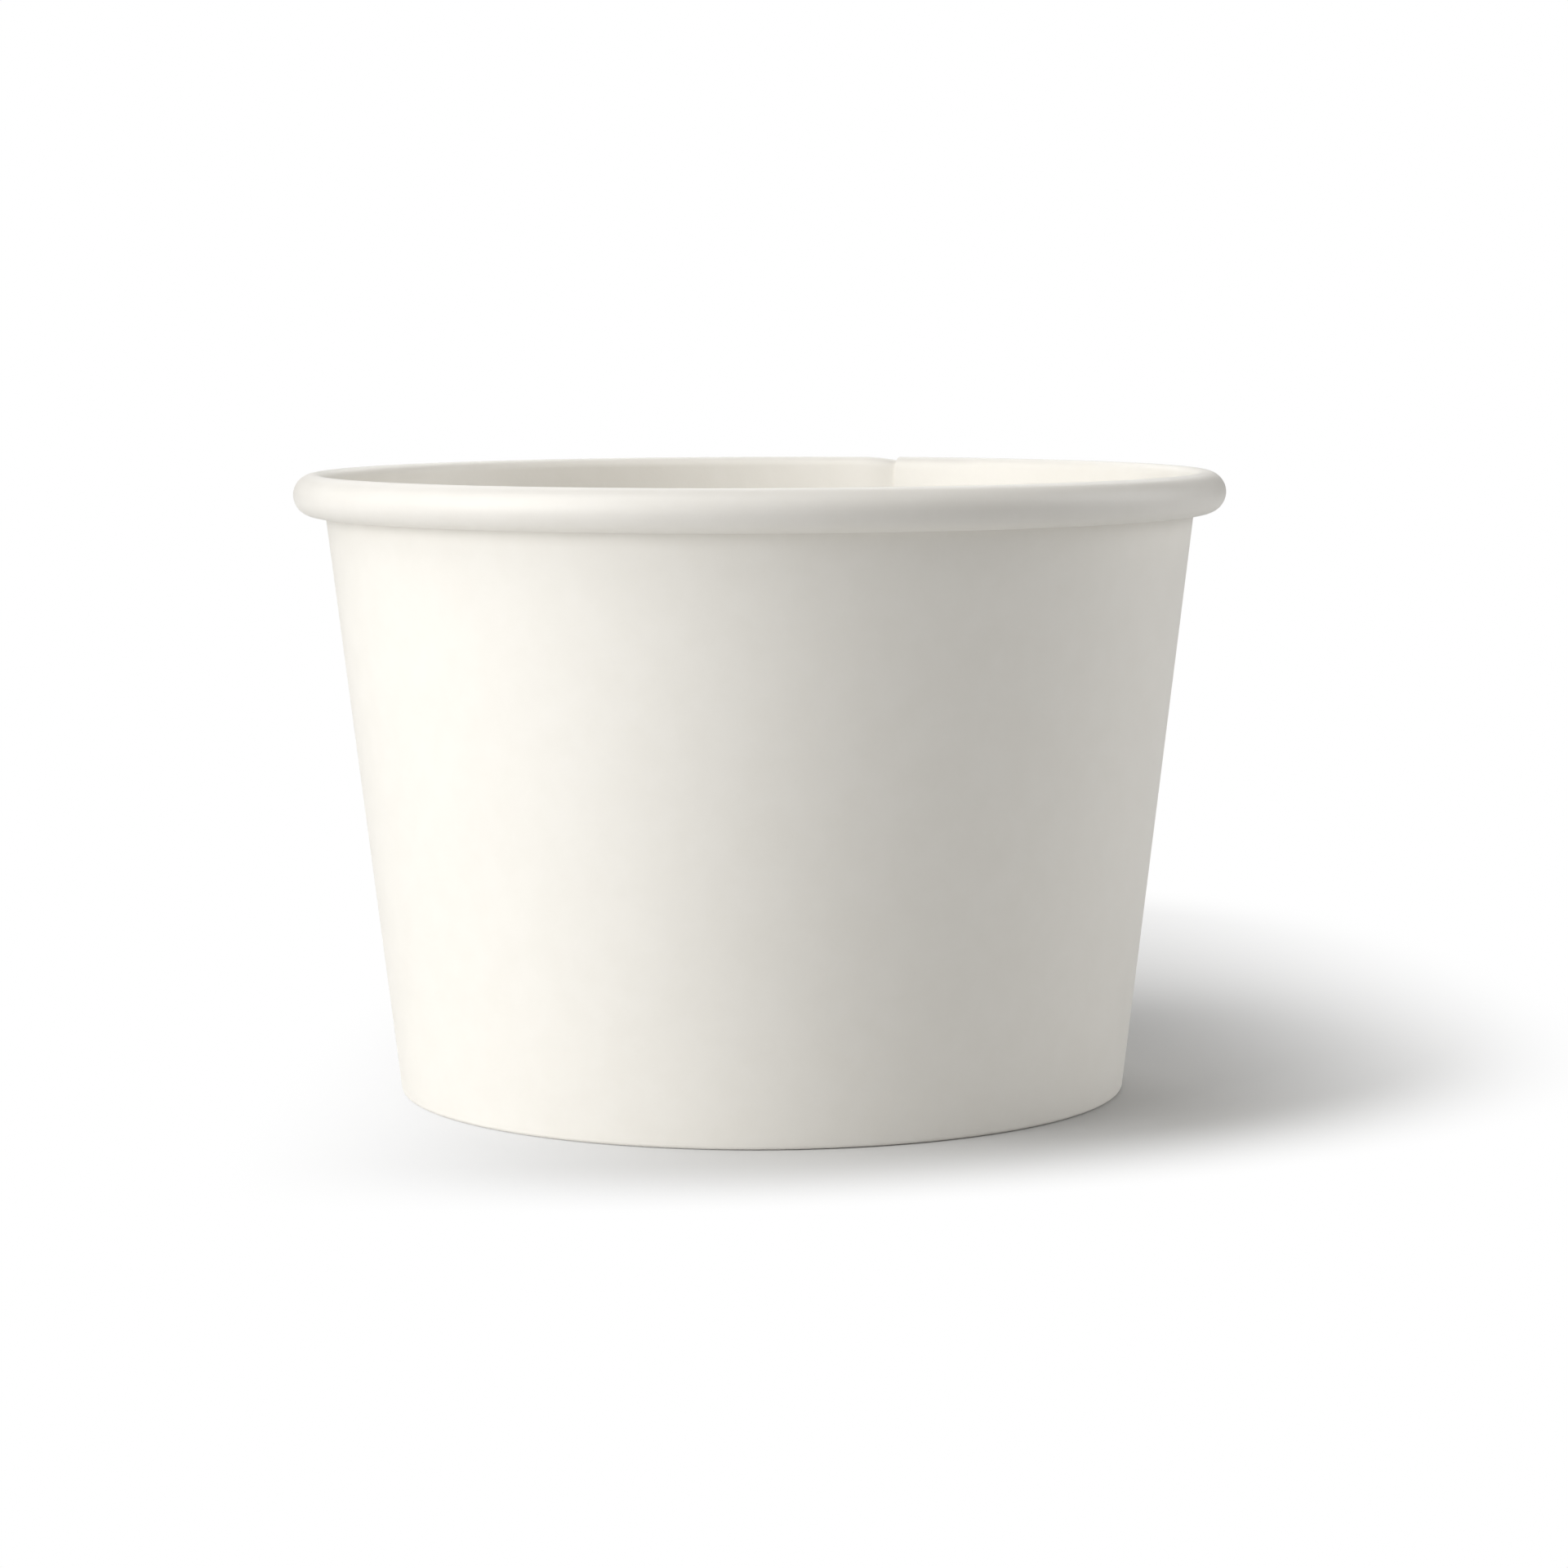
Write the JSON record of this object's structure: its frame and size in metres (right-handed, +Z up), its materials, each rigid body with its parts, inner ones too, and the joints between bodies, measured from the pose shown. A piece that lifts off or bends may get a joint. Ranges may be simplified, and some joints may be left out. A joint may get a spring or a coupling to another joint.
{
  "type": "paper sundae cup",
  "caption": "Round tapered paperboard cup with a rolled rim, a lapped side seam and a recessed base, for a cold dessert.",
  "frame": {"origin": "centre of the foot ring, on the surface that the cup stands on", "axes": "+Z up along the cup's axis, through the mouth; +Y towards the back of the picture's view; the lap seam is at the back, turned towards +X"},
  "size_m": [0.095, 0.095, 0.0634],
  "materials": {
    "wall_board": "smooth coated paperboard, satin, warm white",
    "base_board": "smooth coated paperboard, satin, warm white"
  },
  "bodies": {
    "root": {"side_wall": "wall_board", "base_disc": "base_board"}
  },
  "joints": []
}
